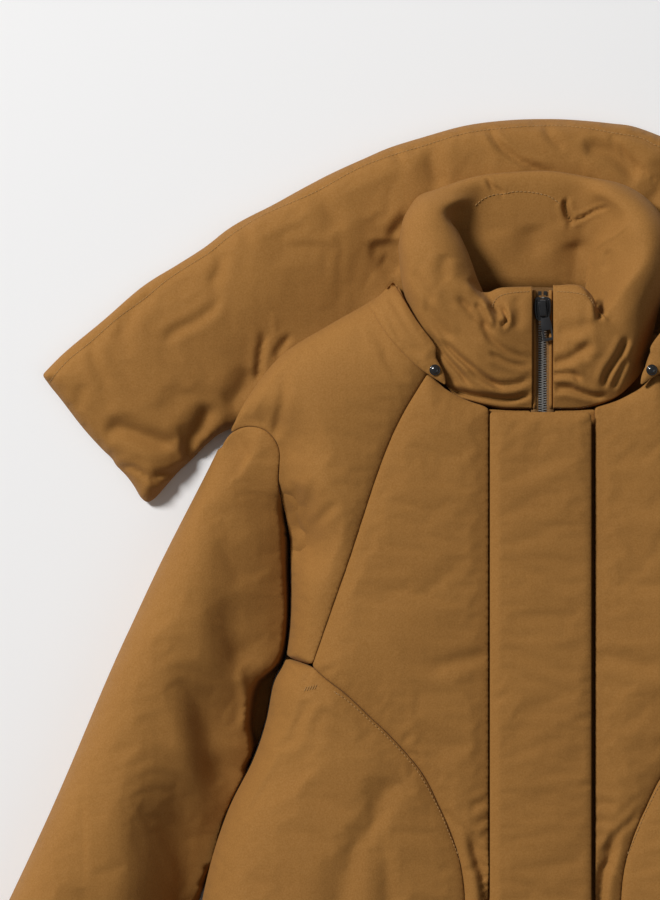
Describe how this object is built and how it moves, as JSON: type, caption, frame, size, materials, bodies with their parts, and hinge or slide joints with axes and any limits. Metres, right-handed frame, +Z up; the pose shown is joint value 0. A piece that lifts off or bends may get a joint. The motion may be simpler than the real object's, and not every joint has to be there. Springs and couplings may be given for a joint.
{
  "type": "padded hooded coat",
  "caption": "Padded coat lying flat on its back, with a stand-up collar, metal zip under a wind flap, neck tabs and a detachable hood.",
  "frame": {"origin": "on the surface that the coat lies on, at the middle of its outline", "axes": "+X to the wearer's left, +Y from the hem towards the collar and the hood, +Z up from the surface"},
  "size_m": [1.0418, 0.9148, 0.1056],
  "materials": {
    "shell": "matte woven, golden brown",
    "lining": "smooth woven, golden brown",
    "webbing": "ribbed tape, brown",
    "gunmetal": "dark gunmetal",
    "black_metal": "gloss black"
  },
  "bodies": {
    "coat": {"back_panel": "shell", "back_lining": "lining", "front_lining_right": "lining", "shoulder_panel_right": "shell", "chest_panel_right": "shell", "hip_panel_right": "shell", "front_lining_left": "lining", "shoulder_panel_left": "shell", "chest_panel_left": "shell", "hip_panel_left": "shell", "collar_band": "shell", "collar_facing": "lining", "hanger_loop": "webbing", "zip_tape_right": "webbing", "zip_teeth_right": "gunmetal", "zip_top_stop_right": "gunmetal", "neck_stud_right": "gunmetal", "zip_tape_left": "webbing", "zip_teeth_left": "gunmetal", "zip_top_stop_left": "gunmetal", "neck_stud_left": "gunmetal", "zip_retainer_box": "gunmetal", "flap_stud_1": "gunmetal", "flap_stud_2": "gunmetal", "flap_stud_3": "gunmetal", "flap_stud_4": "gunmetal"},
    "slider": {"zip_slider": "black_metal"},
    "pull_tab": {"zip_pull": "black_metal"},
    "flap": {"wind_flap": "shell", "flap_socket_1": "gunmetal", "flap_socket_2": "gunmetal", "flap_socket_3": "gunmetal", "flap_socket_4": "gunmetal"},
    "hood": {"hood_panel": "shell", "hood_lining": "lining", "hood_face_band": "shell"},
    "tab_right": {"neck_tab_right": "shell", "tab_snap_right": "black_metal"},
    "tab_left": {"neck_tab_left": "shell", "tab_snap_left": "black_metal"},
    "sleeve_right": {"sleeve_back_right": "shell", "sleeve_front_right": "shell"},
    "sleeve_left": {"sleeve_back_left": "shell", "sleeve_front_left": "shell"}
  },
  "joints": [
    {"name": "flap_open", "type": "hinge", "parent": "coat", "child": "flap", "pos_m": [-0.0477, 0, 0.0977], "axis": [0, -1, 0], "range_deg": [0, 120]},
    {"name": "zip_run", "type": "slide", "parent": "coat", "child": "slider", "axis": [0, -1, 0], "range_m": [0, 0.708]},
    {"name": "pull_flip", "type": "hinge", "parent": "slider", "child": "pull_tab", "pos_m": [0, 0.28635, 0.0842], "axis": [-1, 0, 0], "range_deg": [0, 170]},
    {"name": "hood_off", "type": "slide", "parent": "coat", "child": "hood", "axis": [0, 1, 0], "range_m": [0, 0.32]},
    {"name": "tab_right_lift", "type": "hinge", "parent": "coat", "child": "tab_right", "pos_m": [-0.143, 0.2915, 0.0585], "axis": [-0.7567, -0.6537, 0], "range_deg": [0, 60]},
    {"name": "sleeve_right_swing", "type": "hinge", "parent": "coat", "child": "sleeve_right", "pos_m": [-0.263, 0.149, 0.03], "axis": [0, 0, -1], "range_deg": [0, 25]},
    {"name": "tab_left_lift", "type": "hinge", "parent": "coat", "child": "tab_left", "pos_m": [0.143, 0.2915, 0.0585], "axis": [-0.7567, 0.6537, 0], "range_deg": [0, 60]},
    {"name": "sleeve_left_swing", "type": "hinge", "parent": "coat", "child": "sleeve_left", "pos_m": [0.263, 0.149, 0.03], "axis": [0, 0, 1], "range_deg": [0, 25]}
  ]
}
